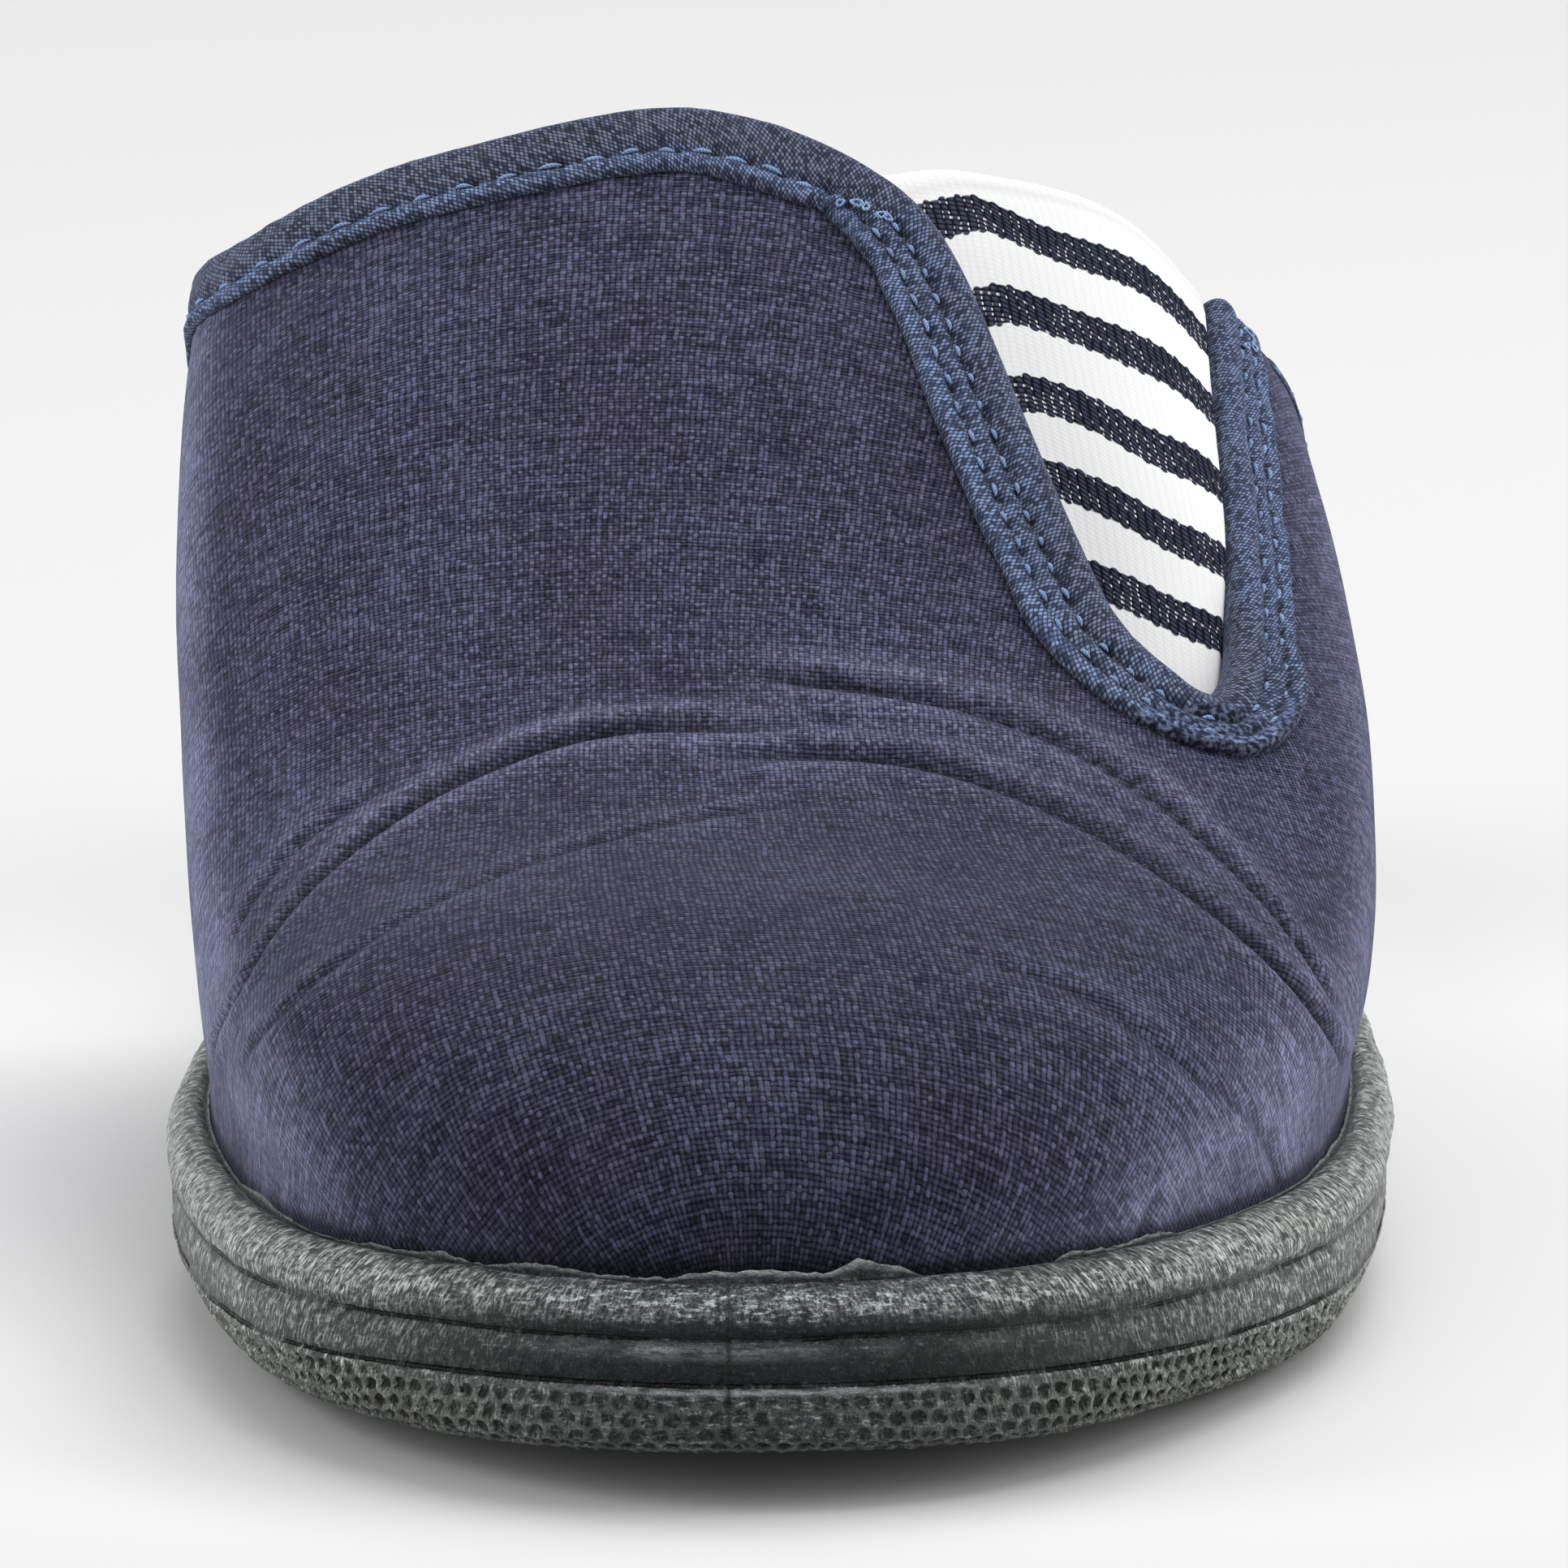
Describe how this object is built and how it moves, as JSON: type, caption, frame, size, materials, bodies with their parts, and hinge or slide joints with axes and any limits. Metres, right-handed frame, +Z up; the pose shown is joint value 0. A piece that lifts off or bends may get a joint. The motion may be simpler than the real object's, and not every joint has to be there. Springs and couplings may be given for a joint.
{
  "type": "clog slipper",
  "caption": "Open-back clog slipper: puffy canvas upper with taped throat and striped elastic side gusset, on a moulded rubber sole whose rim cups the upper.",
  "frame": {"origin": "on the floor, under the middle of the whole shoe's length and width", "axes": "-Y points to the toe, +Y to the heel, +X to the outer side of the left foot, +Z up"},
  "size_m": [0.0988, 0.262, 0.0879],
  "materials": {
    "sole_rubber": "matt grey-green marbled rubber with dimpled lower band",
    "insole_cloth": "dark cloth",
    "navy_canvas": "plain-weave navy canvas",
    "striped_elastic": "white knitted elastic with navy stripes",
    "twill_tape": "navy twill tape"
  },
  "bodies": {
    "root": {"outsole": "sole_rubber", "insole": "insole_cloth", "upper": "navy_canvas", "elastic_gusset": "striped_elastic", "topline_binding": "twill_tape", "notch_binding": "twill_tape", "quarter_binding": "twill_tape"}
  },
  "joints": []
}
